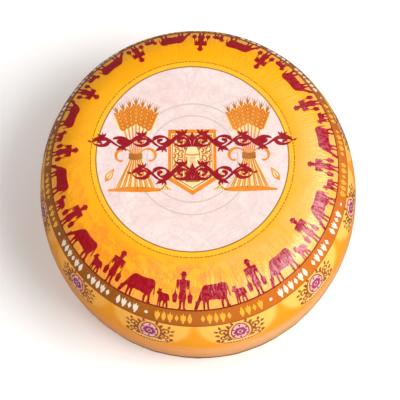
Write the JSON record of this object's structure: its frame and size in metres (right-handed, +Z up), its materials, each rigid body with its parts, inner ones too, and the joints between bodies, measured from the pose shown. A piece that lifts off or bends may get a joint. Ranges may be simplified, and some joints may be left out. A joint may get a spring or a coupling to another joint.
{
  "type": "cheese wheel",
  "caption": "Whole round wheel of semi-hard cheese, flat on top and underneath with a full round shoulder, under a glossy printed film label that covers its top and wall.",
  "frame": {"origin": "middle of the flat base, on the surface that the wheel stands on", "axes": "+Z is up, out of the wheel's flat top; -Y is the front, where the pictures on the label's top read upright; +X is to their right"},
  "size_m": [0.2284, 0.2396, 0.111],
  "materials": {
    "coated_rind": "satin, deep orange-yellow coating on the rind",
    "printed_film": "glossy yellow-orange printed film"
  },
  "bodies": {
    "root": {"cheese": "coated_rind", "printed_label": "printed_film"}
  },
  "joints": []
}
